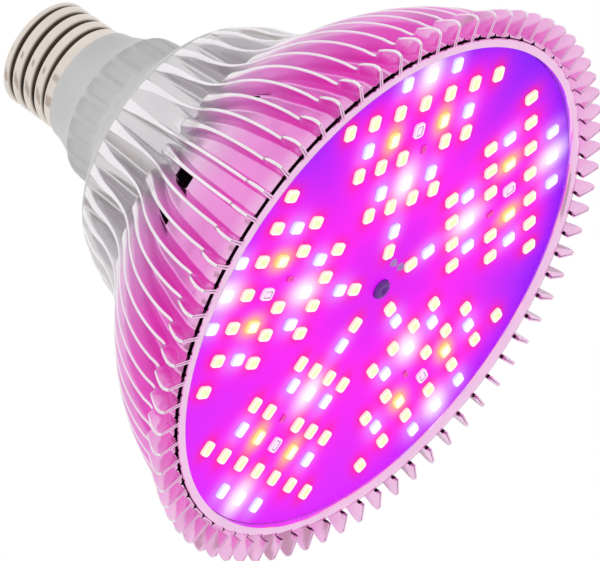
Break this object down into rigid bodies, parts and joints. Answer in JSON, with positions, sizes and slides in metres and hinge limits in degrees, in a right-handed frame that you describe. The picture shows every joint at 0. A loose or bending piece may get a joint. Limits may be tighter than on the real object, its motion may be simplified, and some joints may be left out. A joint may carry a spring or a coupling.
{
  "type": "led grow light",
  "caption": "Screw-in lamp with a bell of folded metal fins round a flat face of small coloured light sources, a grooved plastic neck and a threaded screw cap.",
  "frame": {"origin": "on the lamp's axis, in the plane of the fins' feet at the rim of the lit face", "axes": "+Z along the axis from the lit face towards the screw cap; the seam of the folded sheet is near -Y"},
  "size_m": [0.1374, 0.1374, 0.1133],
  "materials": {
    "nickel": "bright nickel plating, rolled thread",
    "white_plastic": "moulded, light gloss",
    "fin_aluminium": "bright folded sheet",
    "rim_aluminium": "satin",
    "plate_aluminium": "plain rolled",
    "board_coating": "white solder mask, light gloss",
    "red_light": "clear resin over the source",
    "blue_light": "clear resin over the source",
    "white_light": "phosphor resin",
    "warm_light": "phosphor resin",
    "infrared_light": "clear resin over two dark dies",
    "chip_black": "moulded epoxy",
    "solder": "bright solder",
    "screw_steel": "zinc plated",
    "insulator": "pale glassy insulator",
    "contact_brass": "stamped",
    "tube_plastic": "moulded",
    "driver_laminate": "glass laminate",
    "capacitor_sleeve": "shrunk sleeve",
    "film_case": "potted box",
    "ferrite": "sintered",
    "winding_tape": "polyester tape",
    "resistor_body": "dipped coating",
    "lead_insulation": "extruded"
  },
  "bodies": {
    "root": {"screw_shell": "nickel", "tip_insulator": "insulator", "centre_contact": "contact_brass", "neck_housing": "white_plastic", "fin_ring": "fin_aluminium", "rim_ring": "rim_aluminium", "carrier_plate": "plate_aluminium", "led_board": "board_coating", "red_leds": "red_light", "blue_leds": "blue_light", "white_leds": "white_light", "warm_leds": "warm_light", "infrared_leds": "infrared_light", "board_resistors": "chip_black", "lead_pads": "solder", "centre_screw": "screw_steel", "driver_tube": "tube_plastic", "driver_board": "driver_laminate", "bulk_capacitor": "capacitor_sleeve", "film_capacitor": "film_case", "transformer_core": "ferrite", "transformer_winding": "winding_tape", "bridge_rectifier": "chip_black", "driver_chip": "chip_black", "fusible_resistor": "resistor_body", "input_leads": "lead_insulation", "output_leads": "lead_insulation"}
  },
  "joints": []
}
